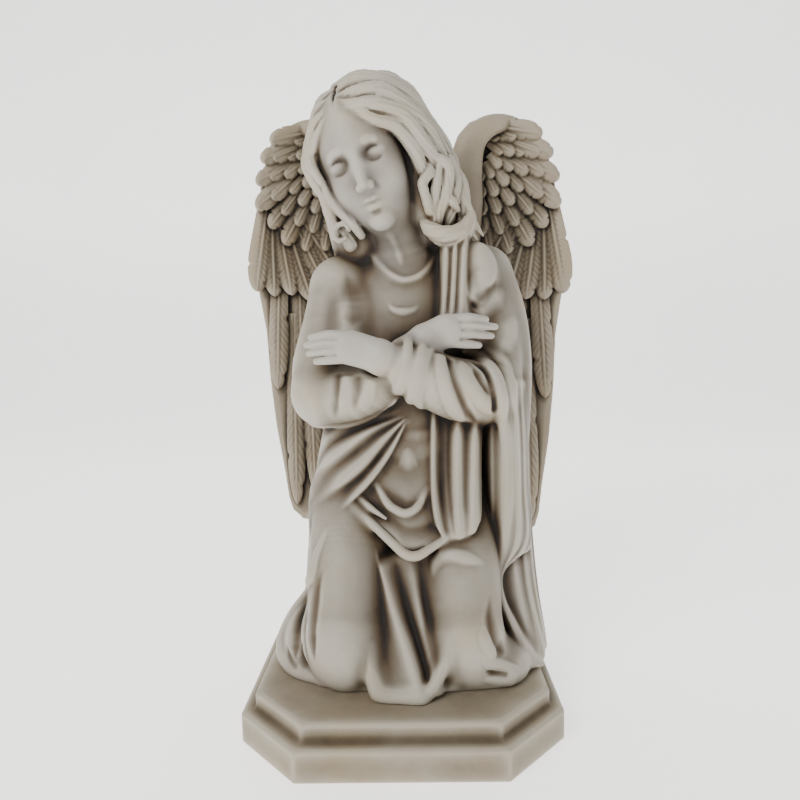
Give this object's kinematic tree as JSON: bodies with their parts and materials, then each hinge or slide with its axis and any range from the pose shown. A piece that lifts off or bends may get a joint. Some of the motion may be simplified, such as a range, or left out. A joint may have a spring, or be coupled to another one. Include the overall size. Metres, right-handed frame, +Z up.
{
  "type": "kneeling angel statue",
  "caption": "Cast-stone angel kneeling with crossed arms and folded wings, on a stepped rectangular plinth with clipped corners.",
  "frame": {"origin": "middle of the plinth's underside", "axes": "+Z up, the angel faces -Y, +X to the right of someone who faces it"},
  "size_m": [0.4773, 0.42, 0.8168],
  "materials": {
    "plinth_stone": "satin cast stone, antique wash",
    "figure_stone": "satin cast stone, antique wash",
    "wing_stone": "satin cast stone, heavy antique wash"
  },
  "bodies": {
    "root": {"plinth": "plinth_stone", "angel_figure": "figure_stone", "left_wing": "wing_stone", "right_wing": "wing_stone"}
  },
  "joints": []
}
